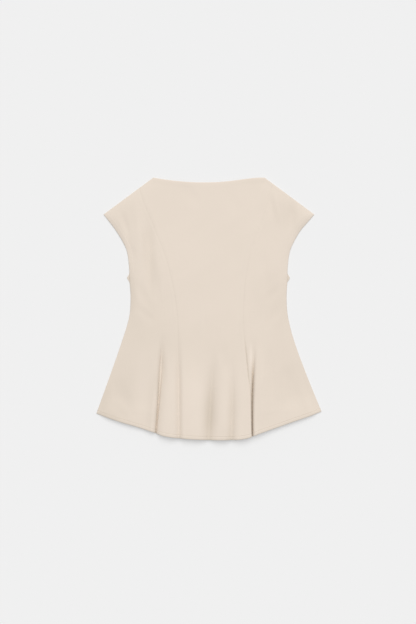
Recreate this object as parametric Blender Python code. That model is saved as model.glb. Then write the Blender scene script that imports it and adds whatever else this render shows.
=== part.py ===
"""A cap-sleeved peplum top in firm knit, laid flat with its front on its back.

The model is in metres with +Z up, and stands on z = 0. The sizes below are in millimetres, as a
pattern gives them: "across" runs from the centre line towards the wearer's left, which is +X,
and "down" runs from the neck points towards the hem, which is -Y. Heights are of the cloth's
outer face. The front is one draped surface, and its panels are cut from it along the seams.
"""

import math
from collections import namedtuple

import bmesh
import bpy
from mathutils import Vector

MM = 0.001

# Driving dimensions
LENGTH = 590.0
CLOTH = 1.3
SEAM_GAP = 0.3
NECK_HALF = 125.0
BACK_NECK_DIP = 15.0
CAP_TIP_ACROSS = 237.0
CAP_TIP_DOWN = 83.0
HEM_HALF = 253.0
BACK_HEM_LIFT = 2.0
UNDERARM_DOWN = 226.0
UNDERARM_POINT = 5.5
UNDERARM_POINT_HALF = 10.0

# Worked out from them
SHOULDER_SLOPE = CAP_TIP_DOWN / (CAP_TIP_ACROSS - NECK_HALF)
RIM_HEIGHT = 2 * CLOTH + SEAM_GAP

# The neckline and the hem as they lie, from the right side to the left one
Line = namedtuple("Line", "across down")
NECKLINE = (
    Line(-125, 0.0),
    Line(-109, 2.8),
    Line(-86, 6.2),
    Line(-60, 8.9),
    Line(-30, 10.8),
    Line(0, 10.9),
    Line(20, 10.2),
    Line(40, 8.6),
    Line(62, 6.0),
    Line(85, 2.8),
    Line(107, 0.5),
    Line(125, 0.0),
)
HEM = (
    Line(-253, 530.5),
    Line(-236, 537.0),
    Line(-204, 548.0),
    Line(-168, 558.6),
    Line(-132, 570.2),
    Line(-110, 578.0),
    Line(-88, 583.4),
    Line(-55, 586.9),
    Line(-15, 589.3),
    Line(25, 590.0),
    Line(60, 589.2),
    Line(78, 587.4),
    Line(94, 583.4),
    Line(112, 576.2),
    Line(147, 563.9),
    Line(191, 548.4),
    Line(232, 534.4),
    Line(253, 526.0),
)

# The armhole, from the cap's tip to the underarm, and the side seam below it
Edge = namedtuple("Edge", "down half_width")
SIDE_EDGE = (
    Edge(83, 237.0),
    Edge(100, 222.5),
    Edge(118, 207.0),
    Edge(142, 192.5),
    Edge(165, 182.5),
    Edge(198, 177.5),
    Edge(232, 176.5),
    Edge(271, 174.6),
    Edge(312, 177.6),
    Edge(366, 191.0),
    Edge(438, 217.0),
    Edge(527, 253.0),
)

# The princess seams, from the shoulder over the bust to the hem
Seam = namedtuple("Seam", "down right left")
PRINCESS = (
    Seam(13, -160.5, 142.9),
    Seam(23, -156.3, 139.9),
    Seam(51, -148.0, 133.0),
    Seam(97, -129.0, 119.5),
    Seam(142, -111.0, 101.5),
    Seam(186, -94.6, 89.5),
    Seam(231, -83.5, 82.2),
    Seam(276, -74.6, 78.2),
    Seam(322, -70.0, 77.5),
    Seam(370, -68.0, 80.5),
    Seam(410, -67.6, 85.5),
    Seam(445, -67.4, 88.6),
    Seam(475, -67.2, 92.4),
    Seam(520, -67.0, 95.2),
    Seam(590, -67.0, 98.6),
)
SEAM_TOP = {"right": (-156.25, 31.25 * SHOULDER_SLOPE), "left": (142.8, 17.8 * SHOULDER_SLOPE)}

# How high the front stands over its back, how far in from its side it takes to rise, and how
# its rise bows: out for 1, hollow for -1
Body = namedtuple("Body", "down crown reach bow")
BODY = (
    Body(0, 4.2, 20, 1.0),
    Body(80, 5.6, 22, 1.0),
    Body(200, 7.4, 24, 1.0),
    Body(290, 6.8, 22, 1.0),
    Body(370, 8.6, 60, 0.8),
    Body(480, 12.6, 120, -0.2),
    Body(600, 15.6, 150, -0.6),
)
SHOULDER_REACH = 26.0

# Rows of facets in each front panel
ROWS = 34

# Folds: troughs that bend through three places. Each opens by "minus" on its -X side and by "plus"
# on its +X side at its end, and by those times its flares at its start. It is deepest from "full"
# to "eases", and its pinch draws its walls together. Its bottom is rounder with more "round", and
# its shoulders are softer with more "power".
Fold = namedtuple(
    "Fold", "starts full eases ends x0 x1 x2 depth minus plus flare_m flare_p pinch round power"
)
END = 900.0
FOLDS = {
    "right_deep": Fold(340, 450, END, END, -105.5, -110.5, -120.5, 12.0, 9, 28, 1.2, 1.0, 0.3, 0.16, 2.0),
    "right_low": Fold(370, 520, END, END, -124, -138, -148, 3.0, 40, 26, 1.0, 1.0, 0.0, 0.6, 2.0),
    "right_seam": Fold(345, 470, END, END, -69.8, -69.2, -68.2, 5.2, 15, 12, 1.0, 1.0, 0.0, 0.30, 2.0),
    "centre": Fold(362, 545, END, END, 2.0, 0.6, 0.4, 10.8, 29, 29, 1.0, 1.0, 0.0, 0.20, 2.0),
    "off_centre": Fold(382, 545, END, END, 52.5, 51.0, 50.5, 6.4, 20, 20, 1.0, 1.0, 0.0, 0.24, 2.0),
    "left_groove": Fold(345, 450, END, END, 104, 97.4, 98.6, 11.5, 5.6, 6.6, 3.6, 1.3, 0.2, 0.36, 2.0),
    "right_bust": Fold(70, 160, 185, 290, -137, -134, -129, 4.0, 20, 20, 1.0, 1.0, 0.0, 0.5, 2.0),
    "right_cap": Fold(60, 115, 135, 215, -203, -180, -171, 1.6, 12, 14, 1.0, 1.0, 0.0, 0.5, 2.0),
    "left_cap": Fold(45, 85, 95, 175, 188, 185, 177, 2.2, 18, 16, 1.0, 1.0, 0.0, 0.5, 2.0),
    "left_bust": Fold(150, 200, 225, 290, 122, 124, 128, 1.0, 18, 20, 1.0, 1.0, 0.0, 0.5, 2.0),
}

# Cloth colours, in linear light
CREAM = (0.80, 0.70, 0.60, 1.0)
CREAM_SHADED = (0.76, 0.66, 0.57, 1.0)


def clamp(value, low=0.0, high=1.0):
    return min(max(value, low), high)


def mix(start, end, share):
    return start + (end - start) * share


def ease(share):
    """A smooth step from 0 to 1."""
    share = clamp(share)
    return share * share * (3 - 2 * share)


def round_up(share):
    """A quick rise from 0 that levels out at 1, as cloth leaves a seam."""
    share = clamp(share)
    return share * (2 - share)


def read(table, column, at, by="down"):
    """One column of a table at any place, on a smooth curve through its rows."""
    last = len(table) - 2
    k = next((i for i in range(last) if at < getattr(table[i + 1], by)), last)
    rows = [table[clamp(i, 0, last + 1)] for i in (k - 1, k, k + 1, k + 2)]
    before, start, end, after = [getattr(row, column) for row in rows]
    places = [getattr(row, by) for row in rows]
    span = places[2] - places[1]
    leave = (end - before) / (places[2] - places[0]) * span
    arrive = (after - start) / (places[3] - places[1]) * span
    t = clamp((at - places[1]) / span)
    return (
        start * (1 + 2 * t) * (1 - t) ** 2
        + leave * t * (1 - t) ** 2
        + end * t * t * (3 - 2 * t)
        - arrive * t * t * (1 - t)
    )


def hem_down(across):
    return read(HEM, "down", across, by="across")


def neck_down(across):
    return read(NECKLINE, "down", across, by="across")


def back_neck_down(across):
    return BACK_NECK_DIP * (1 - (across / NECK_HALF) ** 2)


def back_hem_down(across):
    return hem_down(across) - BACK_HEM_LIFT * (1 - abs(across) / HEM_HALF)


def top_down(across, neck=neck_down):
    """The top edge: the neckline between the neck points, and the shoulders outside them."""
    if abs(across) > NECK_HALF:
        return (abs(across) - NECK_HALF) * SHOULDER_SLOPE
    return neck(across)


def base_height(across, down):
    """The front without its folds: low at the side and shoulder seams, crowned between them."""
    crown = read(BODY, "crown", down)
    in_from_side = read(SIDE_EDGE, "half_width", down) - abs(across)
    if down < CAP_TIP_DOWN:
        in_from_side = CAP_TIP_ACROSS - abs(across)
    slant = math.hypot(1, SHOULDER_SLOPE)
    below_shoulder = (down - (abs(across) - NECK_HALF) * SHOULDER_SLOPE) / slant
    share = clamp(in_from_side / read(BODY, "reach", down))
    rise = share * (1 + read(BODY, "bow", down) * (1 - share))
    rise *= round_up(below_shoulder / SHOULDER_REACH)
    return RIM_HEIGHT + (crown - RIM_HEIGHT) * rise


def fold_at(fold, across, down):
    """How far one fold moves the cloth at a place: (sideways, downwards)."""
    if not fold.starts < down < fold.ends:
        return 0.0, 0.0
    path = (down - fold.starts) / (min(fold.ends, LENGTH) - fold.starts)
    bend = 2 * fold.x1 - (fold.x0 + fold.x2) / 2
    line = fold.x0 * (1 - path) ** 2 + bend * 2 * path * (1 - path) + fold.x2 * path**2
    off = across - line
    opening, flare = (fold.plus, fold.flare_p) if off > 0 else (fold.minus, fold.flare_m)
    width = opening * mix(flare, 1.0, ease(path))
    share = off / width
    if abs(share) >= 1:
        return 0.0, 0.0
    strength = ease((down - fold.starts) / (fold.full - fold.starts))
    if down > fold.eases:
        strength *= 1 - ease((down - fold.eases) / (fold.ends - fold.eases))
    sideways = -fold.pinch * strength * width * math.sin(math.pi * share) / math.pi
    bowl = math.hypot(share, fold.round) - fold.round
    up = bowl / (math.hypot(1, fold.round) - fold.round)
    return sideways, fold.depth * strength * (1 - up) ** fold.power


def front_point(across, down):
    """A point on the front's outer face."""
    moves = [fold_at(fold, across, down) for fold in FOLDS.values()]
    sideways = sum(move[0] for move in moves)
    height = base_height(across, down) - sum(move[1] for move in moves)
    return Vector((across + sideways, LENGTH / 2 - down, max(height, RIM_HEIGHT)))


def front_normal(across, down):
    """The outward direction of the cloth, the same for both panels at a seam."""
    step = 0.6
    along_x = front_point(across + step, down) - front_point(across - step, down)
    along_y = front_point(across, down - step) - front_point(across, down + step)
    return along_x.cross(along_y).normalized()


def seam_edge(side):
    """A princess seam as a function of the share of its length."""
    top = Vector((SEAM_TOP[side][0], SEAM_TOP[side][1]))
    end = hem_down(read(PRINCESS, side, LENGTH))

    def edge(share):
        down = mix(top.y, end, share)
        across = mix(top.x, read(PRINCESS, side, down), clamp((down - top.y) / 2))
        return Vector((across, down))

    return edge


def side_edge(sign):
    """The armhole and side seam as one edge, from the cap's tip to the hem."""
    end = hem_down(sign * HEM_HALF)

    def edge(share):
        row = mix(CAP_TIP_DOWN, SIDE_EDGE[-1].down, share)
        across = sign * read(SIDE_EDGE, "half_width", row)
        return Vector((across, mix(CAP_TIP_DOWN, end, share)))

    return edge


def level_edge(near, far, row_of):
    """The top or bottom edge between two corners, with its height given by row_of."""

    def edge(share):
        across = mix(near.x, far.x, share)
        return Vector((across, row_of(across)))

    return edge


def patch(near, far, top, hem, u, v):
    """A place inside four edges, on a smooth net between them."""
    sides = near(v) * (1 - u) + far(v) * u
    ends = top(u) * (1 - v) + hem(u) * v
    corners = (near(0) * (1 - u) + far(0) * u) * (1 - v)
    corners += (near(1) * (1 - u) + far(1) * u) * v
    return sides + ends - corners


def net_shares(count, close_ups=(), corners=()):
    """Shares from 0 to 1, with closer ones where each (share, reach, steps) asks for them.

    The share that is nearest to each corner is moved onto it.
    """
    shares = [i / count for i in range(count + 1)]
    for share, reach, steps in close_ups:
        shares = [s for s in shares if abs(s - share) > reach or s in (0, 1)]
        wanted = [share + reach * (i / steps) for i in range(-steps, steps + 1)]
        shares += [s for s in wanted if 0.002 < s < 0.998]
    for corner in corners:
        nearest = min(range(len(shares)), key=lambda i: abs(shares[i] - corner))
        shares[nearest] = corner
    return sorted(shares)


def material(name, colour):
    made = bpy.data.materials.new(name)
    made.use_nodes = True
    shader = made.node_tree.nodes["Principled BSDF"]
    shader.inputs["Base Color"].default_value = colour
    shader.inputs["Roughness"].default_value = 0.9
    shader.inputs["Metallic"].default_value = 0.0
    return made


def front_panel(name, near, far, top, hem, columns, rows, gaps, finish, collection):
    """One panel of the front: a wall of cloth through its columns and rows.

    gaps holds how far the near and the far edge stay back from their seams, along X.
    """
    mesh = bmesh.new()
    last = len(columns) - 1
    bmesh.ops.create_grid(mesh, x_segments=last, y_segments=rows, size=0.5)
    outer = set(mesh.verts)
    bmesh.ops.extrude_face_region(mesh, geom=mesh.faces[:])
    for vertex in mesh.verts:
        column = round((vertex.co.x + 0.5) * last)
        v = round((0.5 - vertex.co.y) * rows) / rows
        across, down = patch(near, far, top, hem, columns[column], v)
        place = front_point(across, down)
        if vertex not in outer:
            place -= front_normal(across, down) * CLOTH
        if column == 0:
            place.x += gaps[0]
        if column == last:
            place.x += gaps[1]
        vertex.co = place * MM
    bmesh.ops.recalc_face_normals(mesh, faces=mesh.faces[:])
    data = bpy.data.meshes.new(name)
    mesh.to_mesh(data)
    mesh.free()
    data.shade_smooth()
    data.set_sharp_from_angle(angle=math.radians(50))
    data.materials.append(finish)
    panel = bpy.data.objects.new(name, data)
    collection.objects.link(panel)
    return panel


def back_side(sign):
    """The back's side from the cap's tip to the hem, with the point where the underarm ends."""
    edge = side_edge(sign)
    underarm = (UNDERARM_DOWN - CAP_TIP_DOWN) / (edge(1).y - CAP_TIP_DOWN)
    points = []
    for share in net_shares(44, corners=[underarm]):
        across, down = edge(share)
        near_underarm = clamp(1 - abs(down - UNDERARM_DOWN) / UNDERARM_POINT_HALF)
        points.append((across + sign * UNDERARM_POINT * near_underarm, down))
    return points


def back_outline():
    """The back's edge, anticlockwise seen from above, from the right end of its hem."""
    hem = [mix(-HEM_HALF, HEM_HALF, i / 36) for i in range(37)]
    shoulder = [mix(CAP_TIP_ACROSS, NECK_HALF, i / 6) for i in range(1, 6)]
    neck = [mix(NECK_HALF, -NECK_HALF, i / 16) for i in range(17)]
    top = shoulder + neck + [-across for across in reversed(shoulder)]
    outline = [(across, back_hem_down(across)) for across in hem]
    outline += list(reversed(back_side(1)[:-1]))
    outline += [(across, top_down(across, back_neck_down)) for across in top]
    return outline + back_side(-1)[:-1]


def back_panel(name, finish, collection):
    """The back lies flat on the ground: its outline, as thick as the cloth."""
    curve = bpy.data.curves.new(name, "CURVE")
    curve.dimensions = "2D"
    curve.fill_mode = "BOTH"
    curve.extrude = CLOTH / 2 * MM
    outline = back_outline()
    spline = curve.splines.new("POLY")
    spline.points.add(len(outline) - 1)
    for point, (across, down) in zip(spline.points, outline):
        point.co = (across * MM, (LENGTH / 2 - down) * MM, 0, 1)
    spline.use_cyclic_u = True
    curve.materials.append(finish)
    panel = bpy.data.objects.new(name, curve)
    panel.location.z = CLOTH / 2 * MM
    collection.objects.link(panel)
    return panel


def build_top():
    top = bpy.data.collections.new("peplum_top")
    bpy.context.scene.collection.children.link(top)
    cloth = material("cream_knit", CREAM)
    cloth_back = material("cream_knit_back", CREAM_SHADED)

    right_seam, left_seam = seam_edge("right"), seam_edge("left")
    right_side, left_side = side_edge(-1), side_edge(1)

    half_gap = SEAM_GAP / 2
    starts, ends = right_seam(0).x, left_seam(0).x
    neck_points = [(across - starts) / (ends - starts) for across in (-NECK_HALF, NECK_HALF)]
    front_panel(
        "centre_front",
        right_seam,
        left_seam,
        level_edge(right_seam(0), left_seam(0), top_down),
        level_edge(right_seam(1), left_seam(1), hem_down),
        net_shares(30, corners=neck_points),
        ROWS,
        (half_gap, -half_gap),
        cloth,
        top,
    )
    front_panel(
        "right_side_front",
        right_seam,
        right_side,
        level_edge(right_seam(0), right_side(0), top_down),
        level_edge(right_seam(1), right_side(1), hem_down),
        net_shares(18, [(0.285, 0.06, 6)]),
        ROWS,
        (-half_gap, 0),
        cloth,
        top,
    )
    front_panel(
        "left_side_front",
        left_seam,
        left_side,
        level_edge(left_seam(0), left_side(0), top_down),
        level_edge(left_seam(1), left_side(1), hem_down),
        net_shares(18, [(0.06, 0.06, 7)]),
        ROWS,
        (half_gap, 0),
        cloth,
        top,
    )
    back_panel("back", cloth_back, top)


for old in list(bpy.data.objects):
    bpy.data.objects.remove(old)
build_top()
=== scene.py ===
"""The looks of a peplum top that lies flat: its knit panels, its hem stitches and the stage.

The front is one draped surface, and its three panels are cut from it along the princess seams.
Pattern sizes are in millimetres: "across" runs from the centre line towards the wearer's left,
which is +X, and "down" runs from the neck points to the hem, which is -Y.
"""

import math
from collections import namedtuple

import bmesh
import bpy
import numpy as np
from bpy.props import FloatProperty, FloatVectorProperty, PointerProperty
from mathutils import Matrix, Vector


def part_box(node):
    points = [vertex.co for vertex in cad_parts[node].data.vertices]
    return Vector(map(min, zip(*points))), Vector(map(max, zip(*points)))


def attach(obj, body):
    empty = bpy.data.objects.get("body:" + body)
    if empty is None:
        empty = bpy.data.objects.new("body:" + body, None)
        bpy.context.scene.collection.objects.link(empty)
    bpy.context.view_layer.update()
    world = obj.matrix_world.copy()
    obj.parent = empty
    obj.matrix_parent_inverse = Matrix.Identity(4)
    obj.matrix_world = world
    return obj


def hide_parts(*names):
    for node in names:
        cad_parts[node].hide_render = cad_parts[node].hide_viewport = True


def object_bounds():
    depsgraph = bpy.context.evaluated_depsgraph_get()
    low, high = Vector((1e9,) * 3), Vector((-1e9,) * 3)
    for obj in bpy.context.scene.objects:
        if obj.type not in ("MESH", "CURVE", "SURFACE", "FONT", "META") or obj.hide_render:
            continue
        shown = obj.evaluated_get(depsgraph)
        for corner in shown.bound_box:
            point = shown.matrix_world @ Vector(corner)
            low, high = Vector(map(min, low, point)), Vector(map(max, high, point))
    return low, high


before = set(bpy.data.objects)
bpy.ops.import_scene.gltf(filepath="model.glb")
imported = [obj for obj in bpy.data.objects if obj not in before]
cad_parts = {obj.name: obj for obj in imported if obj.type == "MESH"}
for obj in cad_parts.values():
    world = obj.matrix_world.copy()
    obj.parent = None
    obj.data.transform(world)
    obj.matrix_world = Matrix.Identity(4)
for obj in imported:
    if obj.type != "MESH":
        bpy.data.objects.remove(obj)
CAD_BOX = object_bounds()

bl_info = {
    "name": "Peplum top, laid flat",
    "version": (1, 0, 0),
    "blender": (4, 5, 0),
    "location": "View3D > Sidebar > Peplum top",
    "description": "Builds the knit panels, hem stitches and stage of a peplum top",
    "category": "Object",
}

MM = 0.001
BODY_NAME = "root"
PATTERN_UV = "pattern"
PAINTED_LIGHT_AND_SHADE = "edge_tone"

# Overall sizes, read from the frame
LENGTH = round((CAD_BOX[1].y - CAD_BOX[0].y) / MM)
HEM_HALF = round(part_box("back")[1].x / MM)
CLOTH = round(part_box("back")[1].z / MM, 1)

# Driving dimensions of the pattern
NECK_HALF = 125.0
BACK_NECK_DIP = 15.0
CAP_TIP_ACROSS = 237.0
CAP_TIP_DOWN = 83.0
BACK_HEM_LIFT = 2.0
UNDERARM_DOWN = 226.0
UNDERARM_POINT = 6.2
UNDERARM_POINT_HALF = 10.0
SEAM_GAP = 0.03
RIGHT_SEAM_OUT = 31.25
LEFT_SEAM_OUT = 17.8

# Worked out from them. RIM_HEIGHT is that of the front's outer face where it rests on the back.
SHOULDER_SLOPE = CAP_TIP_DOWN / (CAP_TIP_ACROSS - NECK_HALF)
SHOULDER_SLANT = math.hypot(1, SHOULDER_SLOPE)
RIM_HEIGHT = 2 * CLOTH + 0.1

# The neckline and the hem as they lie, from the right side to the left one
Line = namedtuple("Line", "across down")
NECKLINE = (
    Line(-125, 0.0),
    Line(-109, 2.8),
    Line(-86, 6.2),
    Line(-60, 8.9),
    Line(-30, 10.8),
    Line(0, 10.9),
    Line(20, 10.2),
    Line(40, 8.6),
    Line(62, 6.0),
    Line(85, 2.8),
    Line(107, 0.5),
    Line(125, 0.0),
)
HEM = (
    Line(-253, 530.5),
    Line(-236, 537.0),
    Line(-204, 548.0),
    Line(-168, 558.6),
    Line(-132, 570.2),
    Line(-110, 578.0),
    Line(-88, 583.4),
    Line(-55, 586.9),
    Line(-15, 589.3),
    Line(25, 590.0),
    Line(60, 589.2),
    Line(78, 587.4),
    Line(94, 583.4),
    Line(112, 576.2),
    Line(147, 563.9),
    Line(191, 548.4),
    Line(232, 534.4),
    Line(253, 526.0),
)

# The armhole, from the cap's tip to the underarm, and the side seam below it
Edge = namedtuple("Edge", "down right left")
SIDE_EDGE = (
    Edge(83, 237.0, 237.0),
    Edge(100, 223.5, 222.5),
    Edge(118, 210.0, 207.0),
    Edge(142, 195.0, 192.5),
    Edge(165, 184.5, 182.5),
    Edge(198, 179.8, 177.5),
    Edge(232, 178.3, 176.5),
    Edge(271, 176.1, 174.6),
    Edge(312, 179.4, 177.6),
    Edge(366, 195.6, 191.0),
    Edge(438, 220.7, 217.0),
    Edge(527, 253.0, 253.0),
)

# The princess seams, from the shoulder over the bust to the hem
Seam = namedtuple("Seam", "down right left")
PRINCESS = (
    Seam(13, -160.5, 142.9),
    Seam(23, -156.3, 139.9),
    Seam(51, -148.0, 133.0),
    Seam(97, -129.0, 119.5),
    Seam(142, -111.0, 101.5),
    Seam(186, -94.6, 89.5),
    Seam(231, -83.5, 82.2),
    Seam(276, -74.6, 78.2),
    Seam(322, -70.0, 77.5),
    Seam(370, -68.0, 80.5),
    Seam(410, -67.6, 85.5),
    Seam(445, -67.4, 88.6),
    Seam(475, -67.2, 92.4),
    Seam(520, -67.0, 95.2),
    Seam(590, -67.0, 98.6),
)
SEAM_TOP = {
    "right": (-NECK_HALF - RIGHT_SEAM_OUT, RIGHT_SEAM_OUT * SHOULDER_SLOPE),
    "left": (NECK_HALF + LEFT_SEAM_OUT, LEFT_SEAM_OUT * SHOULDER_SLOPE),
}

# The left seam lies too flat to be seen above its first place, and shows fully from its second
LEFT_SEAM_STARTS = 120.0
LEFT_SEAM_SHOWS = 260.0

# How high the front stands over its back, how far in from its side it takes to rise, and how
# its rise bows: out for 1, hollow for -1
Body = namedtuple("Body", "down crown reach bow")
BODY = (
    Body(0, 4.2, 20, 1.0),
    Body(80, 5.6, 22, 1.0),
    Body(200, 7.4, 24, 1.0),
    Body(290, 6.8, 22, 1.0),
    Body(370, 8.6, 60, 0.8),
    Body(480, 12.6, 120, -0.2),
    Body(600, 15.6, 150, -0.6),
)
SHOULDER_REACH = 26.0

# How far the hem springs up near the side seams. The lift rises over the first width in from the
# seam, falls past the second over the third, and reaches this far up from the hem.
CORNER_LIFT = 4.5
CORNER_RISE = 30.0
CORNER_FALLS = 45.0
CORNER_FALL = 80.0
CORNER_REACH = 60.0

# How far in from the side and from the top the cloth's waviness is at its full height
WAVES_FROM_SIDE = 18.0
WAVES_FROM_TOP = 14.0

# Folds: troughs that bend through three places. Each opens by "minus" on its -X side and by "plus"
# on its +X side at its end, and by those times its flares at its start. It is deepest from "full"
# to "eases", and its pinch draws its walls together. Its bottom is rounder with more "round", and
# its shoulders are softer with more "power". Its bottom is painted in shade by "tone".
Fold = namedtuple(
    "Fold",
    "starts full eases ends x0 x1 x2 depth minus plus flare_m flare_p pinch round power tone",
)
END = 900.0
FOLDS = {
    "right_deep": Fold(
        345, 455, END, END, -104.0, -110.8, -120.8, 8.2, 13, 28, 1.0, 1.0, 0.2, 0.10, 2.0, 0.20
    ),
    "right_cleft": Fold(
        345, 480, END, END, -104.0, -110.8, -120.8, 4.4, 3.8, 4.6, 3.2, 2.2, 0.3, 0.06, 1.5, 0.70
    ),
    "right_low": Fold(
        370, 520, END, END, -124, -138, -148, 3.0, 40, 26, 1.0, 1.0, 0.0, 0.6, 2.0, 0.00
    ),
    "right_seam": Fold(
        345, 470, END, END, -68.6, -67.6, -67.0, 5.2, 15, 12, 1.0, 1.0, 0.0, 0.22, 2.0, 0.30
    ),
    "centre": Fold(
        362, 545, 540, 690, 16.0, 5.6, -0.2, 11.2, 30, 30, 1.0, 1.0, 0.0, 0.06, 2.0, 1.75
    ),
    "off_centre": Fold(
        382, 545, END, END, 53.0, 53.2, 50.6, 6.6, 20, 20, 1.0, 1.0, 0.0, 0.08, 2.0, 0.90
    ),
    "left_groove": Fold(
        352, 535, END, END, 105, 97.9, 97.2, 15.5, 3.5, 7.2, 4.0, 1.3, 0.7, 0.05, 2.0, 3.60
    ),
    "left_tuck": Fold(
        345, 400, 445, 495, 78.5, 86.0, 94.0, 1.3, 3.0, 4.0, 1.0, 1.0, 0.0, 0.1, 2.0, 1.10
    ),
    "right_bust": Fold(
        70, 160, 185, 290, -137, -134, -129, 4.0, 20, 20, 1.0, 1.0, 0.0, 0.5, 2.0, 0.30
    ),
    "right_cap": Fold(
        60, 115, 135, 215, -203, -180, -171, 1.6, 12, 14, 1.0, 1.0, 0.0, 0.5, 2.0, 0.00
    ),
    "left_cap": Fold(
        45, 85, 95, 175, 188, 185, 177, 2.2, 18, 16, 1.0, 1.0, 0.0, 0.5, 2.0, 0.00
    ),
    "left_bust": Fold(
        150, 200, 225, 290, 122, 124, 128, 1.0, 18, 20, 1.0, 1.0, 0.0, 0.5, 2.0, 0.00
    ),
}

# Soft creases between the folds, each from one place to another. A negative depth is a ridge.
Crease = namedtuple("Crease", "across0 down0 across1 down1 half_width depth")
CREASES = (
    Crease(-163, 40, -152, 200, 15, -1.7),
    Crease(-163, 228, -132, 305, 15, 1.1),
    Crease(-118, 196, -112, 300, 10, 0.7),
    Crease(-171, 282, -118, 330, 13, 0.7),
    Crease(-208, 450, -180, 545, 24, 1.4),
    Crease(-222, 500, -176, 560, 15, 0.9),
    Crease(-95, 372, -92, 470, 9, -0.8),
    Crease(-30, 320, -42, 430, 22, 0.7),
    Crease(22, 352, 44, 452, 16, 0.8),
    Crease(78, 430, 74, 560, 11, -0.6),
    Crease(60, 300, 20, 372, 24, 0.6),
    Crease(137, 30, 142, 96, 9, 1.0),
    Crease(150, 36, 156, 104, 7, -0.8),
    Crease(118, 55, 110, 120, 14, 0.5),
    Crease(168, 238, 122, 286, 14, 0.8),
    Crease(172, 276, 128, 342, 16, 0.9),
    Crease(128, 372, 140, 505, 18, 1.0),
    Crease(176, 420, 196, 540, 22, 1.2),
    Crease(212, 470, 228, 535, 13, -0.8),
    Crease(-10, 285, -11, 360, 7, 0.35),
    Crease(112, 372, 120, 560, 26, -2.2),
    Crease(-60, 22, -18, 66, 20, 0.6),
    Crease(38, 18, 66, 88, 22, 0.6),
)

# Painted light and shade: ovals darkened as if less light reached the cloth, or lightened for a
# negative tone
Shade = namedtuple("Shade", "across down half_across half_down tone")
SHADES = (
    Shade(-225, 515, 150, 150, 0.63),
    Shade(-225, 545, 60, 50, 0.30),
    Shade(-150, 480, 28, 90, -0.33),
    Shade(-122, 215, 22, 60, 0.30),
    Shade(38, 590, 24, 50, 0.45),
    Shade(-119, 455, 8, 55, 0.35),
    Shade(-32, 500, 30, 90, -0.22),
    Shade(-150, 415, 60, 70, -0.15),
    Shade(94, 405, 5, 42, -0.90),
    Shade(-60, 600, 130, 45, 0.30),
    Shade(-150, 350, 120, 200, 0.47),
    Shade(-10, 376, 160, 110, 0.30),
    Shade(200, 430, 190, 300, 0.33),
    Shade(150, 270, 80, 90, 0.19),
    Shade(-195, 75, 60, 60, 0.30),
    Shade(180, 70, 60, 70, 0.30),
    Shade(-178, 250, 22, 75, 0.50),
    Shade(-238, 490, 25, 70, 0.30),
)

# Sewing: the height of each second layer, and how the edges and stitches shape the outer face
HEM_LAYER = 0.45
BACK_HEM_LAYER = 0.8
TURNED_LAYER = 0.3
ALLOWANCE_LAYER = 0.16
ALLOWANCE_MIDDLE = 6.0
ALLOWANCE_HALF = 4.0
STITCH_ROW = 1.6
STITCH_DIP = 0.7
STITCH_DIP_HALF = 0.9
EDGE_DROP = 0.9
HEM_ROLL = 2.2
EDGE_ROLL = 1.8
BACK_CLEARANCE = 0.4

# Where the deep fold of a side front needs a closer net: its share of the width, reach and steps
CLOSE_FOLDS = {"right": (0.30, 0.10, 30), "left": (0.05, 0.06, 30)}

# Rims are bevelled where their faces turn by more than the first angle, and shading breaks
# past the second
RIM_ANGLE = math.radians(50)
SHARP_ANGLE = math.radians(60)

# Hem stitches: places along the hem that are tried for their ends, and the share of the
# thread's radius by which their middle stands above the cloth
HEM_SAMPLES = 2400
STITCH_STANDS = 0.35

# The floor's half size in metres, and how far it lies below the back
FLOOR_HALF = 30.0
FLOOR_DROP = 0.4

# Each panel's cut, in metres and square metres
Cut = namedtuple("Cut", "width length area")


class PeplumCloth(bpy.types.PropertyGroup):
    seam_roll: FloatProperty(
        name="Seam roll",
        description="How far from a seam the cloth begins to roll into it",
        default=2.4 * MM,
        unit="LENGTH",
    )
    seam_depth: FloatProperty(
        name="Seam depth",
        description="How deep the cloth rolls in at a seam",
        default=0.12 * MM,
        unit="LENGTH",
    )
    hem_depth: FloatProperty(
        name="Hem depth",
        description="How far the hem is turned up",
        default=9.6 * MM,
        unit="LENGTH",
    )
    turned_depth: FloatProperty(
        name="Turned edge",
        description="How far the neckline and armholes are turned in",
        default=9.0 * MM,
        unit="LENGTH",
    )
    rim: FloatProperty(
        name="Rim",
        description="How far the rims of the cloth are rounded",
        default=0.3 * MM,
        unit="LENGTH",
    )
    pucker: FloatProperty(
        name="Pucker",
        description="Height of the small ripples along the seams",
        default=0.14 * MM,
        unit="LENGTH",
    )
    wale: FloatProperty(
        name="Wale",
        description="Width of one column of knit stitches",
        default=0.9 * MM,
        unit="LENGTH",
    )
    colour: FloatVectorProperty(
        name="Colour",
        description="The knit's cream",
        subtype="COLOR",
        default=(0.780, 0.686, 0.598),
        min=0.0,
        max=1.0,
    )
    # The darker cream that the knit's random tone blends towards; it is also the painted shade
    # between stitches and at seams, edges and folds
    shade: FloatVectorProperty(
        name="Shade",
        description="The same cream where stitches and edges lie in shade",
        subtype="COLOR",
        default=(0.580, 0.510, 0.425),
        min=0.0,
        max=1.0,
    )
    roughness: FloatProperty(
        name="Roughness",
        description="How matte the knit is",
        default=0.86,
        subtype="FACTOR",
    )


class PeplumStitches(bpy.types.PropertyGroup):
    pitch: FloatProperty(
        name="Pitch",
        description="From the start of one stitch to the next",
        default=3.0 * MM,
        unit="LENGTH",
    )
    length: FloatProperty(
        name="Length",
        description="How much of each stitch lies on the cloth",
        default=2.4 * MM,
        unit="LENGTH",
    )
    radius: FloatProperty(
        name="Radius",
        description="Half the thread's thickness",
        default=0.24 * MM,
        unit="LENGTH",
    )
    colour: FloatVectorProperty(
        name="Colour",
        description="The thread's cream",
        subtype="COLOR",
        default=(0.72, 0.62, 0.52),
        min=0.0,
        max=1.0,
    )


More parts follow.
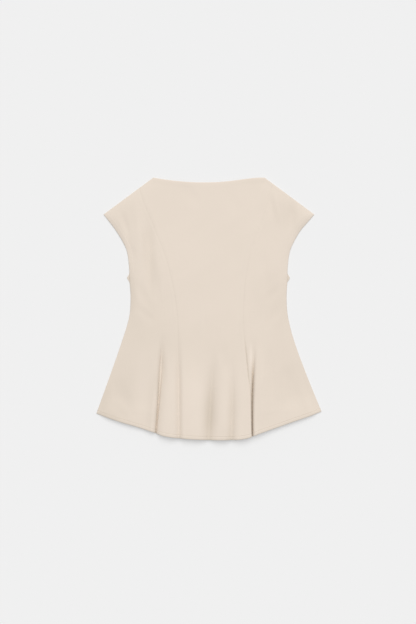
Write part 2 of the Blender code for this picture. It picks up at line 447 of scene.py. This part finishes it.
class PeplumStage(bpy.types.PropertyGroup):
    floor_colour: FloatVectorProperty(
        name="Floor",
        description="The pale floor's colour",
        subtype="COLOR",
        default=(0.50, 0.50, 0.50),
        min=0.0,
        max=1.0,
    )
    # Painted light: the floor glows evenly, which keeps the shadows on it pale
    floor_glow: FloatProperty(
        name="Floor glow",
        description="How much light comes up through the floor, as from a light table",
        default=0.33,
    )
    sky: FloatProperty(
        name="Soft light",
        description="Strength of the light from all round",
        default=0.36,
    )
    key: FloatProperty(
        name="Key light",
        description="Strength of the light from beyond the neck",
        default=2.55,
    )
    key_height: FloatProperty(
        name="Key height",
        description="The key light's height above the horizon",
        default=math.radians(63),
        subtype="ANGLE",
    )
    key_turn: FloatProperty(
        name="Key turn",
        description="How far the key light stands from the centre line, towards +X",
        default=math.radians(8),
        subtype="ANGLE",
    )
    key_spread: FloatProperty(
        name="Key spread",
        description="The key light's width, which softens its shadows",
        default=math.radians(58),
        subtype="ANGLE",
    )
    frame_height: FloatProperty(
        name="Frame height",
        description="How much of the floor the picture takes in, from top to bottom",
        default=1.404,
        unit="LENGTH",
    )
    frame_centre: FloatVectorProperty(
        name="Frame centre",
        description="Where the camera looks straight down",
        default=(-0.0021, -0.0074),
        size=2,
        unit="LENGTH",
    )
    lens: FloatProperty(
        name="Lens",
        description="The camera's focal length, in millimetres",
        default=85.0,
    )


class Number:
    """A node's output that takes part in sums: each operator adds a Math node."""

    def __init__(self, maker, socket):
        self.maker = maker
        self.socket = socket

    def math(self, operation, *values):
        sockets = dict(enumerate(values))
        made = self.maker.node("ShaderNodeMath", {"operation": operation}, sockets)
        return Number(self.maker, made.outputs[0])

    def __add__(self, other):
        return self.math("ADD", self, other)

    __radd__ = __add__

    def __sub__(self, other):
        return self.math("SUBTRACT", self, other)

    def __rsub__(self, other):
        return self.math("SUBTRACT", other, self)

    def __mul__(self, other):
        return self.math("MULTIPLY", self, other)

    __rmul__ = __mul__

    def __truediv__(self, other):
        return self.math("DIVIDE", self, other)

    def fraction(self):
        return self.math("FRACT", self)

    def size(self):
        return self.math("ABSOLUTE", self)

    def sine(self):
        return self.math("SINE", self)


class Finish:
    """One material, made node by node."""

    def __init__(self, name):
        self.material = bpy.data.materials.new(name)
        self.material.use_nodes = True
        self.nodes = self.material.node_tree.nodes
        self.links = self.material.node_tree.links
        self.nodes.clear()

    def node(self, kind, settings=None, sockets=None):
        """A node of this kind, with its settings, and the values or links of its sockets."""
        made = self.nodes.new(kind)
        for name, value in (settings or {}).items():
            setattr(made, name, value)
        for name, value in (sockets or {}).items():
            if isinstance(value, Number):
                value = value.socket
            if isinstance(value, bpy.types.NodeSocket):
                self.links.new(value, made.inputs[name])
            else:
                made.inputs[name].default_value = value
        return made

    def number(self, made, output=0):
        return Number(self, made.outputs[output])

    def noise(self, place, scale, detail=2.0, roughness=0.5):
        """Noise from 0 to 1, about 0.5, with this many lumps in a metre."""
        sockets = {"Vector": place, "Scale": scale, "Detail": detail, "Roughness": roughness}
        return self.number(self.node("ShaderNodeTexNoise", None, sockets))

    def blend(self, share, first, second):
        """A colour between two others."""
        sockets = {0: share, 6: first, 7: second}
        settings = {"data_type": "RGBA", "clamp_factor": True}
        return self.node("ShaderNodeMix", settings, sockets).outputs[2]

    def surface(self, constants, **varying):
        """The shader: constants stay on its own sockets, and what varies is linked."""
        sockets = dict(constants)
        sockets.update({name.replace("_", " "): value for name, value in varying.items()})
        shader = self.node("ShaderNodeBsdfPrincipled", None, sockets)
        self.node("ShaderNodeOutputMaterial", None, {"Surface": shader.outputs[0]})
        return self.material


def opaque(colour):
    return (*colour, 1.0)


def knit_finish(cloth):
    """Firm cream knit: fine columns of stitches under a slight crepe, with a soft sheen."""
    finish = Finish("firm_knit")
    pattern = finish.node("ShaderNodeUVMap", {"uv_map": PATTERN_UV}).outputs["UV"]
    parts = finish.node("ShaderNodeSeparateXYZ", None, {0: pattern})
    across, down = finish.number(parts, 0), finish.number(parts, 1)

    # Each column is a rounded rib, crossed by stitches that lean like a V
    from_middle = ((across / cloth.wale).fraction() - 0.5).size() * 2
    rib = 1 - from_middle * from_middle
    stitches = ((down / (cloth.wale * 0.75) + from_middle * 0.5) * math.tau).sine() * 0.5 + 0.5
    loops = rib * (stitches * 0.45 + 0.55)

    crepe = finish.noise(pattern, 420, 3.0, 0.6)
    slubs = finish.noise(pattern, 90, 2.0, 0.5)
    height = loops * 0.5 + crepe * 0.75 + slubs * 0.5
    bump = {"Height": height, "Strength": 0.5, "Distance": 0.22 * MM}

    tone = finish.noise(pattern, 7, 2.0, 0.4)
    heather = finish.noise(pattern, 850, 1.0, 0.5)
    # The attribute read here is painted light and shade, made in sewn_relief and for the back's
    # underarm
    edge = finish.number(finish.node("ShaderNodeAttribute", {"attribute_name": PAINTED_LIGHT_AND_SHADE}), 2)
    # (1 - loops) is painted shade between the ribs and stitches; heather, tone and crepe are the
    # knit's random tone
    dark = (1 - loops) * 0.08 + heather * 0.08 + tone * 0.13 + crepe * 0.065 + edge * 0.35 + 0.05
    colour = finish.blend(dark, opaque(cloth.colour), opaque(cloth.shade))
    roughness = crepe * 0.10 + (cloth.roughness - 0.05)
    constants = {
        "Sheen Weight": 0.18,
        "Sheen Roughness": 0.55,
        "Sheen Tint": opaque(cloth.colour),
        "Specular IOR Level": 0.22,
    }
    normal = finish.node("ShaderNodeBump", None, bump).outputs[0]
    return finish.surface(constants, Base_Color=colour, Roughness=roughness, Normal=normal)


def thread_finish(stitches):
    """Spun thread: two plies that twist along it."""
    finish = Finish("spun_thread")
    place = finish.node("ShaderNodeTexCoord").outputs["Object"]
    parts = finish.node("ShaderNodeSeparateXYZ", None, {0: place})
    twist_length = 0.6 * MM
    twist = ((finish.number(parts, 0) + finish.number(parts, 1)) * (math.tau / twist_length)).sine()
    fuzz = finish.noise(place, 2500, 2.0)
    darker = opaque([0.82 * share for share in stitches.colour])
    colour = finish.blend(twist * 0.12 + fuzz * 0.3, opaque(stitches.colour), darker)
    bump = {"Height": twist * 0.5 + fuzz, "Strength": 0.5, "Distance": 0.06 * MM}
    constants = {"Sheen Weight": 0.2, "Specular IOR Level": 0.35}
    normal = finish.node("ShaderNodeBump", None, bump).outputs[0]
    return finish.surface(constants, Base_Color=colour, Roughness=fuzz * 0.2 + 0.5, Normal=normal)


def floor_finish(stage):
    finish = Finish("pale_floor")
    place = finish.node("ShaderNodeTexCoord").outputs["Object"]
    roughness = finish.noise(place, 3) * 0.1 + 0.85
    constants = {
        "Base Color": opaque(stage.floor_colour),
        "Specular IOR Level": 0.0,
        # The glow is painted light that keeps the shadows on the floor pale
        "Emission Color": (1, 1, 1, 1),
        "Emission Strength": stage.floor_glow,
    }
    return finish.surface(constants, Roughness=roughness)


def mix(start, end, share):
    return start + (end - start) * share


def ease(share):
    """A smooth step from 0 to 1."""
    share = np.clip(share, 0, 1)
    return share * share * (3 - 2 * share)


def round_up(share):
    """A quick rise from 0 that levels out at 1, as cloth leaves a seam."""
    share = np.clip(share, 0, 1)
    return share * (2 - share)


def lip(distance, radius):
    """How far a rounded edge has dropped, from 1 at the edge to 0 where its roll begins."""
    inward = 1 - np.clip(distance / radius, 0, 1)
    return 1 - np.sqrt(1 - inward * inward * 0.98)


def read(table, column, at, by="down"):
    """One column of a table at any place, on a smooth curve through its rows."""
    rows = np.array([getattr(row, by) for row in table], float)
    values = np.array([getattr(row, column) for row in table], float)
    last = len(table) - 1
    ahead = np.minimum(np.arange(last + 1) + 1, last)
    behind = np.maximum(np.arange(last + 1) - 1, 0)
    slopes = (values[ahead] - values[behind]) / (rows[ahead] - rows[behind])
    k = np.clip(np.searchsorted(rows, at, side="right") - 1, 0, last - 1)
    span = rows[k + 1] - rows[k]
    t = np.clip((at - rows[k]) / span, 0, 1)
    return (
        values[k] * (1 + 2 * t) * (1 - t) ** 2
        + slopes[k] * span * t * (1 - t) ** 2
        + values[k + 1] * t * t * (3 - 2 * t)
        - slopes[k + 1] * span * t * t * (1 - t)
    )


def hem_down(across):
    return read(HEM, "down", across, by="across")


def neck_down(across):
    return read(NECKLINE, "down", across, by="across")


def back_neck_down(across):
    return BACK_NECK_DIP * (1 - (across / NECK_HALF) ** 2)


def top_down(across, neck=neck_down):
    """The top edge: the neckline between the neck points, and the shoulders outside them."""
    shoulder = (np.abs(across) - NECK_HALF) * SHOULDER_SLOPE
    return np.where(np.abs(across) > NECK_HALF, shoulder, neck(across))


def half_width(across, down):
    """How far the side edge lies from the middle, on the side that a place is on."""
    right, left = read(SIDE_EDGE, "right", down), read(SIDE_EDGE, "left", down)
    return np.where(np.asarray(across) < 0, right, left)


def from_side(across, down):
    """Distance in from the armhole or the side seam."""
    slope = (half_width(across, down + 1) - half_width(across, down - 1)) / 2
    gap = half_width(across, down) - np.abs(across)
    return np.where(down > CAP_TIP_DOWN, gap / np.hypot(1, slope), CAP_TIP_ACROSS - np.abs(across))


def from_seams(across, down):
    """Distances from the right and the left princess seam."""
    gaps = []
    for column in ("right", "left"):
        slope = (read(PRINCESS, column, down + 1) - read(PRINCESS, column, down - 1)) / 2
        gaps.append(np.abs(across - read(PRINCESS, column, down)) / np.hypot(1, slope))
    return gaps


def base_height(across, down):
    """The front without its folds: low at the side and shoulder seams, crowned between them."""
    crown = read(BODY, "crown", down)
    in_from_side = half_width(across, down) - np.abs(across)
    in_from_side = np.where(down < CAP_TIP_DOWN, CAP_TIP_ACROSS - np.abs(across), in_from_side)
    below_shoulder = (down - (np.abs(across) - NECK_HALF) * SHOULDER_SLOPE) / SHOULDER_SLANT
    share = np.clip(in_from_side / read(BODY, "reach", down), 0, 1)
    rise = share * (1 + read(BODY, "bow", down) * (1 - share))
    rise = rise * round_up(below_shoulder / SHOULDER_REACH)
    return RIM_HEIGHT + (crown - RIM_HEIGHT) * rise


def fold_at(fold, across, down):
    """How far one fold moves the cloth at each place: (sideways, downwards)."""
    path = np.clip((down - fold.starts) / (min(fold.ends, LENGTH) - fold.starts), 0, 1)
    bend = 2 * fold.x1 - (fold.x0 + fold.x2) / 2
    line = fold.x0 * (1 - path) ** 2 + bend * 2 * path * (1 - path) + fold.x2 * path**2
    off = across - line
    plus = fold.plus * mix(fold.flare_p, 1.0, ease(path))
    minus = fold.minus * mix(fold.flare_m, 1.0, ease(path))
    width = np.where(off > 0, plus, minus)
    share = np.clip(off / width, -1, 1)
    strength = ease((down - fold.starts) / (fold.full - fold.starts))
    strength = strength * (1 - ease((down - fold.eases) / max(fold.ends - fold.eases, 1)))
    sideways = -fold.pinch * strength * width * np.sin(math.pi * share) / math.pi
    bowl = np.sqrt(share**2 + fold.round**2) - fold.round
    up = bowl / (math.hypot(1, fold.round) - fold.round)
    return sideways, fold.depth * strength * (1 - up) ** fold.power


def crease_at(crease, across, down):
    """How far one soft crease lowers the cloth at each place."""
    along = np.array([crease.across1 - crease.across0, crease.down1 - crease.down0])
    length = np.hypot(*along)
    aside = across - crease.across0, down - crease.down0
    path = (aside[0] * along[0] + aside[1] * along[1]) / length**2
    off = (aside[0] * along[1] - aside[1] * along[0]) / length
    across_share = np.clip(np.abs(off) / crease.half_width, 0, 1)
    along_share = np.clip(np.abs(path - 0.5) * 2, 0, 1)
    return crease.depth * (1 - across_share**2) ** 2 * (1 - along_share**2) ** 1.5


def unevenness(across, down):
    """The slow waviness of cloth that was smoothed by hand."""
    waves = 0.30 * np.sin(across / 31 + 1.3 * np.sin(down / 47 + 0.4))
    waves += 0.26 * np.sin(down / 38 + 1.7 * np.sin(across / 55 + 2.1))
    waves += 0.14 * np.sin(across / 13 + down / 21 + 1.1 * np.sin(down / 17))
    return waves


def draped(across, down):
    """The front's outer face as the cloth drapes, one row of x, y, z for each place."""
    x = np.array(across, float)
    z = base_height(across, down)
    inward, hem = from_side(across, down), hem_down(across) - down
    room = ease(inward / WAVES_FROM_SIDE) * ease((down - top_down(across)) / WAVES_FROM_TOP)
    soft = unevenness(across, down)
    for crease in CREASES:
        soft = soft - crease_at(crease, across, down)
    corner = ease(inward / CORNER_RISE) * (1 - ease((inward - CORNER_FALLS) / CORNER_FALL))
    corner = corner * ease(1 - hem / CORNER_REACH)
    z = z + soft * room + CORNER_LIFT * corner
    for fold in FOLDS.values():
        sideways, drop = fold_at(fold, across, down)
        x = x + sideways
        z = z - drop
    return np.stack([x, LENGTH / 2 - down, np.maximum(z, RIM_HEIGHT)], axis=1)


def facing(across, down, surface):
    """The outward direction of a draped surface."""
    step = 0.6
    along_x = surface(across + step, down) - surface(across - step, down)
    along_y = surface(across, down - step) - surface(across, down + step)
    outward = np.cross(along_x, along_y)
    return outward / np.linalg.norm(outward, axis=1)[:, None]


def sewn_relief(across, down, cloth):
    """How sewing raises or lowers the outer face, and the painted shade of its hollows and folds."""
    hem = hem_down(across) - down
    neck = (down - top_down(across)) / np.where(np.abs(across) > NECK_HALF, SHOULDER_SLANT, 1.0)
    side = from_side(across, down)
    right_seam, left_seam = from_seams(across, down)
    seam = np.minimum(right_seam, left_seam)
    hem_depth, turned = cloth.hem_depth / MM, cloth.turned_depth / MM
    roll, depth = cloth.seam_roll / MM, cloth.seam_depth / MM

    # The turned-up hem is two layers thick, with a groove under its stitches
    relief = HEM_LAYER * (1 - ease((hem - hem_depth + 0.6) / 1.2))
    groove = np.exp(-(((hem - hem_depth + STITCH_ROW) / STITCH_DIP_HALF) ** 2))
    relief -= STITCH_DIP * groove
    relief -= EDGE_DROP * lip(hem, HEM_ROLL)

    # The neckline and the armholes are turned in under the cloth
    armhole = down < UNDERARM_DOWN
    open_top = np.abs(across) <= NECK_HALF
    relief += np.where(open_top, TURNED_LAYER * (1 - ease((neck - turned) / 1.5)), 0)
    relief += np.where(armhole, TURNED_LAYER * (1 - ease((side - turned) / 1.5)), 0)
    relief -= EDGE_DROP * (lip(neck, EDGE_ROLL) + lip(side, EDGE_ROLL))

    # The princess seams roll in, and ripple a little where the thread draws them
    near_seam = (1 - np.clip(seam / roll, 0, 1)) ** 2
    shows = ease((down - LEFT_SEAM_STARTS) / (LEFT_SEAM_SHOWS - LEFT_SEAM_STARTS))
    near_seam *= np.where(left_seam < right_seam, shows, 1)
    relief -= depth * near_seam
    allowance = np.clip(1 - np.abs(seam - ALLOWANCE_MIDDLE) / ALLOWANCE_HALF, 0, 1)
    relief += ALLOWANCE_LAYER * ease(allowance)
    ripple = np.sin(down / 1.35 + 2.2 * np.sin(down / 9.5)) * np.exp(-seam / 5.0)
    relief += cloth.pucker / MM * ripple * ease(seam / 1.5)
    hem_ripple = np.sin(across / 1.5 + 1.9 * np.sin(across / 11.0)) * np.exp(-np.abs(hem - 8.5) / 4)
    relief += cloth.pucker / MM * 0.8 * hem_ripple

    # Painted shade: darker in the seams' roll, the stitch groove, the last of the hem and along the
    # neckline and side edges
    tone = 0.32 * near_seam + 0.75 * groove + 0.6 * np.clip(1 - hem / 7, 0, 1)
    tone += 0.2 * lip(neck, 2.5) + 0.2 * lip(side, 2.5)
    # Painted shade in each oval, or painted light where its tone is negative
    for shade in SHADES:
        aside = ((across - shade.across) / shade.half_across) ** 2
        aside = aside + ((down - shade.down) / shade.half_down) ** 2
        tone += shade.tone * (1 - np.clip(aside, 0, 1)) ** 2
    # Painted shade in the bottom of each fold
    for fold in FOLDS.values():
        drop = fold_at(fold, across, down)[1]
        tone += fold.tone * (drop / fold.depth) ** 1.5
    return relief, tone


def finished(across, down, cloth):
    """The front's outer face as sewn: (places, outward directions, painted light and shade)."""
    outward = facing(across, down, draped)
    relief, tone = sewn_relief(across, down, cloth)
    return draped(across, down) + outward * relief[:, None], outward, tone


def seam_edge(side):
    """A princess seam as a function of the share of its length."""
    start = SEAM_TOP[side][1]
    end = float(hem_down(read(PRINCESS, side, LENGTH)))

    def edge(share):
        down = mix(start, end, share)
        across = mix(SEAM_TOP[side][0], read(PRINCESS, side, down), np.clip((down - start) / 2, 0, 1))
        return np.array([across, down])

    return edge


def side_edge(sign):
    """The armhole and side seam as one edge, from the cap's tip to the hem."""
    end = float(hem_down(sign * HEM_HALF))

    def edge(share):
        row = mix(CAP_TIP_DOWN, SIDE_EDGE[-1].down, share)
        across = sign * half_width(sign, row)
        return np.array([across, mix(CAP_TIP_DOWN, end, share)])

    return edge


def level_edge(near, far, row_of):
    """The top or bottom edge between two edges' ends, with its height given by row_of."""

    def edge(share):
        across = mix(near, far, share)
        return np.array([across, row_of(across)])

    return edge


def panel_edges(near, far):
    """A front panel's four edges, from its two long ones."""
    top = level_edge(near(0)[0], far(0)[0], top_down)
    hem = level_edge(near(1)[0], far(1)[0], hem_down)
    return near, far, top, hem


def net_shares(count, close_ups=()):
    """Shares from 0 to 1, with closer ones where each (share, reach, steps) asks for them."""
    shares = [i / count for i in range(count + 1)]
    for share, reach, steps in close_ups:
        shares = [s for s in shares if abs(s - share) > reach or s in (0, 1)]
        wanted = [share + reach * i / steps for i in range(-steps, steps + 1)]
        shares += [s for s in wanted if 0.0004 < s < 0.9996]
    return np.array(sorted(shares))


def patch(edges, u, v):
    """Places inside four edges, on a smooth net between them."""
    near, far, top, hem = edges
    sides = near(v) * (1 - u) + far(v) * u
    ends = top(u) * (1 - v) + hem(u) * v
    at_top = near(0 * v) * (1 - u) + far(0 * v) * u
    at_hem = near(0 * v + 1) * (1 - u) + far(0 * v + 1) * u
    return sides + ends - at_top * (1 - v) - at_hem * v


def pattern_net(edges, columns, rows):
    """A closed sheet of cloth that is still flat: its bmesh and what is known of its points.

    These are their places on the pattern, their shares across the sheet, and whether each of
    them is on the inner face.
    """
    mesh = bmesh.new()
    bmesh.ops.create_grid(mesh, x_segments=len(columns) - 1, y_segments=len(rows) - 1, size=0.5)
    outer = set(mesh.verts)
    bmesh.ops.extrude_face_region(mesh, geom=mesh.faces[:])
    corners = np.array([vertex.co for vertex in mesh.verts])
    inside = np.array([vertex not in outer for vertex in mesh.verts])
    u = columns[np.rint((corners[:, 0] + 0.5) * (len(columns) - 1)).astype(int)]
    v = rows[np.rint((0.5 - corners[:, 1]) * (len(rows) - 1)).astype(int)]
    across, down = patch(edges, u, v)
    return mesh, across, down, u, inside


def lay_on(mesh, places, across, down, tone):
    """Puts the sheet's points in place, and keeps the pattern's places as UVs and the painted light
    and shade.
    """
    mesh.verts.index_update()
    uv = mesh.loops.layers.uv.new(PATTERN_UV)
    shade = mesh.verts.layers.float.new(PAINTED_LIGHT_AND_SHADE)
    for vertex, place, value in zip(mesh.verts, places, tone):
        vertex.co = place * MM
        vertex[shade] = value
    for face in mesh.faces:
        for loop in face.loops:
            i = loop.vert.index
            loop[uv].uv = across[i] * MM, down[i] * MM


def round_rims(mesh, inside, sewn, size):
    """Rounds a sheet's rims, all but those that are sewn to the next panel."""
    mesh.verts.index_update()
    rims = set()
    for face in mesh.faces:
        if len({inside[vertex.index] for vertex in face.verts}) == 2:
            rims.update(face.edges)
    open_rims = [
        edge
        for edge in mesh.edges
        if edge in rims
        and edge.calc_face_angle(0) > RIM_ANGLE
        and not all(sewn[vertex.index] for vertex in edge.verts)
    ]
    bmesh.ops.recalc_face_normals(mesh, faces=mesh.faces[:])
    bmesh.ops.bevel(
        mesh,
        geom=open_rims,
        offset=size,
        segments=2,
        profile=0.5,
        affect="EDGES",
        material=-1,
    )


def make_piece(name, mesh, finish):
    """A finished piece: its object stays at the origin, with its place in its mesh."""
    data = bpy.data.meshes.new(name)
    mesh.to_mesh(data)
    mesh.free()
    data.shade_smooth()
    data.set_sharp_from_angle(angle=SHARP_ANGLE)
    data.materials.append(finish)
    piece = bpy.data.objects.new(name, data)
    bpy.context.scene.collection.objects.link(piece)
    return piece


def material_once(name, make, settings):
    return bpy.data.materials.get(name) or make(settings)


def front_panel(node, edges, columns, rows, gaps, cloth):
    """One panel of the front, which stands for its CAD solid.

    gaps pull its near and its far edge in from their seams. An open edge has None.
    """
    mesh, across, down, u, inside = pattern_net(edges, columns, rows)
    places, outward, tone = finished(across, down, cloth)
    inner = draped(across, down) - outward * CLOTH
    places = np.where(inside[:, None], inner, places)
    sewn = np.zeros(len(u), bool)
    for share, gap in zip((0, 1), gaps):
        if gap is not None:
            places[:, 0] += np.where(u == share, gap, 0)
            sewn |= u == share
    lay_on(mesh, places, across, down, tone)
    round_rims(mesh, inside, sewn, cloth.rim)
    finish = material_once("firm_knit", knit_finish, cloth)
    piece = make_piece(node + "_cloth", mesh, finish)
    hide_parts(node)
    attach(piece, BODY_NAME)
    return piece


class BuildCentreFront(bpy.types.Operator):
    """Build the centre front, from the neckline to the hem between the princess seams"""

    bl_idname = "peplum.centre_front"
    bl_label = "Centre front"

    def execute(self, context):
        near, far = seam_edge("right"), seam_edge("left")
        columns = net_shares(120, [(0, 0.02, 5), (1, 0.045, 20)])
        starts, ends = near(0)[0], far(0)[0]
        for corner in (-NECK_HALF, NECK_HALF):
            share = (corner - starts) / (ends - starts)
            columns[np.argmin(np.abs(columns - share))] = share
        rows = net_shares(150, [(0, 0.006, 4), (1, 0.024, 16)])
        edges, gaps = panel_edges(near, far), (SEAM_GAP / 2, -SEAM_GAP / 2)
        front_panel("centre_front", edges, columns, rows, gaps, context.scene.peplum_cloth)
        return {"FINISHED"}


class BuildSideFronts(bpy.types.Operator):
    """Build the two side fronts with their cap sleeves, from the shoulders to the hem"""

    bl_idname = "peplum.side_fronts"
    bl_label = "Side fronts"

    def execute(self, context):
        rows = net_shares(150, [(0, 0.008, 4), (1, 0.024, 16)])
        cloth = context.scene.peplum_cloth
        for side, sign in (("right", -1), ("left", 1)):
            edges = panel_edges(seam_edge(side), side_edge(sign))
            columns = net_shares(96, [CLOSE_FOLDS[side], (1, 0.016, 3), (0, 0.012, 4)])
            gaps = (sign * SEAM_GAP / 2, None)
            front_panel(side + "_side_front", edges, columns, rows, gaps, cloth)
        return {"FINISHED"}


class BuildBack(bpy.types.Operator):
    """Build the back, which lies flat on the ground under the front"""

    bl_idname = "peplum.back"
    bl_label = "Back"

    def execute(self, context):
        cloth = context.scene.peplum_cloth
        near, far = self.side(-1), self.side(1)
        edges = (
            near,
            far,
            level_edge(-CAP_TIP_ACROSS, CAP_TIP_ACROSS, lambda a: top_down(a, back_neck_down)),
            level_edge(-HEM_HALF, HEM_HALF, self.hem),
        )
        columns = self.columns()
        rows = net_shares(110, [(1, 0.024, 12)])
        mesh, across, down, _, inside = pattern_net(edges, columns, rows)
        turn_up = 1 - ease((self.hem(across) - down - cloth.hem_depth / MM) / 0.8)
        room = draped(across, down)[:, 2] - 2 * CLOTH - BACK_CLEARANCE
        height = np.where(inside, 0, CLOTH + turn_up * np.clip(room, 0, BACK_HEM_LAYER))
        places = np.stack([across, LENGTH / 2 - down, height], axis=1)
        # Painted shade where the back's underarm point shows beside the front
        tone = 0.9 * np.clip(1.4 - np.abs(down - UNDERARM_DOWN) / UNDERARM_POINT_HALF, 0, 1)
        lay_on(mesh, places, across, down, tone)
        round_rims(mesh, inside, 0 * across, cloth.rim)
        finish = material_once("firm_knit", knit_finish, cloth)
        piece = make_piece("back_cloth", mesh, finish)
        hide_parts("back")
        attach(piece, BODY_NAME)
        return {"FINISHED"}

    def side(self, sign):
        """The back's side, with the point where the underarm seam ends."""

        def edge(share):
            across, down = side_edge(sign)(share)
            point = np.clip(1 - np.abs(down - UNDERARM_DOWN) / UNDERARM_POINT_HALF, 0, 1)
            return np.array([across + sign * UNDERARM_POINT * point, down])

        return edge

    def hem(self, across):
        return hem_down(across) - BACK_HEM_LIFT * (1 - np.abs(across) / HEM_HALF)

    def columns(self):
        """Shares across the back that meet the neck points exactly."""
        neck = NECK_HALF / CAP_TIP_ACROSS
        half = [neck * i / 24 for i in range(24)] + [mix(neck, 1, i / 20) for i in range(21)]
        return np.array([0.5 - s / 2 for s in reversed(half[1:])] + [0.5 + s / 2 for s in half])


class BuildHemStitches(bpy.types.Operator):
    """Sew the hem with one row of stitches on the front"""

    bl_idname = "peplum.hem_stitches"
    bl_label = "Hem stitches"

    def execute(self, context):
        cloth, thread = context.scene.peplum_cloth, context.scene.peplum_stitches
        across = np.linspace(2 - HEM_HALF, HEM_HALF - 2, HEM_SAMPLES)
        down = hem_down(across) - cloth.hem_depth / MM + STITCH_ROW
        places, outward, _ = finished(across, down, cloth)
        runs = np.linalg.norm(np.diff(places, axis=0), axis=1)
        walked = np.concatenate([[0], np.cumsum(runs)])
        starts = np.arange(0, walked[-1] - thread.length / MM, thread.pitch / MM)
        mesh = bmesh.new()
        for start in starts:
            ends = [np.searchsorted(walked, start + step) for step in (0, thread.length / MM)]
            self.sew(mesh, places[ends[0]], places[ends[1]], outward[ends[0]], thread.radius / MM)
        finish = thread_finish(thread)
        piece = make_piece("hem_stitches", mesh, finish)
        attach(piece, BODY_NAME)
        return {"FINISHED"}

    def sew(self, mesh, start, end, outward, radius):
        """One stitch: a small capsule that lies half in the cloth."""
        start, end, outward = Vector(start), Vector(end), Vector(outward)
        along = end - start
        aside = outward.cross(along).normalized()
        middle = (start + end) / 2 + outward * radius * STITCH_STANDS
        shape = Matrix([along / 2, aside * radius, outward * radius]).transposed().to_4x4()
        matrix = Matrix.Scale(MM, 4) @ Matrix.Translation(middle) @ shape
        made = bmesh.ops.create_uvsphere(mesh, u_segments=6, v_segments=6, radius=1.0)
        turn = Matrix.Rotation(math.pi / 2, 4, "Y")
        bmesh.ops.transform(mesh, matrix=matrix @ turn, verts=made["verts"])


class BuildStage(bpy.types.Operator):
    """Set up the pale floor, the soft light and the camera straight above"""

    bl_idname = "peplum.stage"
    bl_label = "Stage"

    def execute(self, context):
        stage = context.scene.peplum_stage
        scene = context.scene
        self.floor(stage)
        self.light(scene, stage)
        self.camera(scene, stage)
        scene.view_settings.view_transform = "Standard"
        return {"FINISHED"}

    def floor(self, stage):
        mesh = bmesh.new()
        bmesh.ops.create_grid(mesh, x_segments=1, y_segments=1, size=FLOOR_HALF)
        bmesh.ops.translate(mesh, vec=(0, 0, -FLOOR_DROP * MM), verts=mesh.verts[:])
        data = bpy.data.meshes.new("floor")
        mesh.to_mesh(data)
        mesh.free()
        data.materials.append(floor_finish(stage))
        floor = bpy.data.objects.new("floor", data)
        bpy.context.scene.collection.objects.link(floor)

    def light(self, scene, stage):
        world = bpy.data.worlds.new("soft_light")
        world.use_nodes = True
        background = world.node_tree.nodes["Background"]
        background.inputs["Color"].default_value = (1, 1, 1, 1)
        background.inputs["Strength"].default_value = stage.sky
        scene.world = world
        key = bpy.data.lights.new("key", "SUN")
        key.energy = stage.key
        key.angle = stage.key_spread
        lamp = bpy.data.objects.new("key", key)
        lamp.rotation_euler = (-(math.pi / 2 - stage.key_height), 0, -stage.key_turn)
        scene.collection.objects.link(lamp)

    def camera(self, scene, stage):
        data = bpy.data.cameras.new("camera")
        data.lens = stage.lens
        half_view = data.sensor_width / 2 / stage.lens
        height = stage.frame_height / 2 / half_view
        camera = bpy.data.objects.new("camera", data)
        camera.location = (*stage.frame_centre, height)
        scene.collection.objects.link(camera)
        scene.camera = camera


class PeplumPanel(bpy.types.Panel):
    """Lists the steps that build the top"""

    bl_idname = "PEPLUM_PT_build"
    bl_label = "Peplum top"
    bl_space_type = "VIEW_3D"
    bl_region_type = "UI"
    bl_category = "Peplum top"

    def draw(self, context):
        for step in BUILD_ORDER:
            self.layout.operator(step.bl_idname)
        for settings in ("peplum_cloth", "peplum_stitches", "peplum_stage"):
            group = getattr(context.scene, settings)
            box = self.layout.box()
            for name in group.__annotations__:
                box.prop(group, name)


SETTINGS = {
    "peplum_cloth": PeplumCloth,
    "peplum_stitches": PeplumStitches,
    "peplum_stage": PeplumStage,
}
BUILD_ORDER = (BuildStage, BuildBack, BuildCentreFront, BuildSideFronts, BuildHemStitches)


def register():
    for made in (*SETTINGS.values(), *BUILD_ORDER, PeplumPanel):
        bpy.utils.register_class(made)
    for name, group in SETTINGS.items():
        setattr(bpy.types.Scene, name, PointerProperty(type=group))


def unregister():
    for name in SETTINGS:
        delattr(bpy.types.Scene, name)
    for made in reversed((*SETTINGS.values(), *BUILD_ORDER, PeplumPanel)):
        bpy.utils.unregister_class(made)


def main():
    register()
    bpy.ops.peplum.stage()
    bpy.ops.peplum.back()
    bpy.ops.peplum.centre_front()
    bpy.ops.peplum.side_fronts()
    bpy.ops.peplum.hem_stitches()


if __name__ == "__main__":
    main()
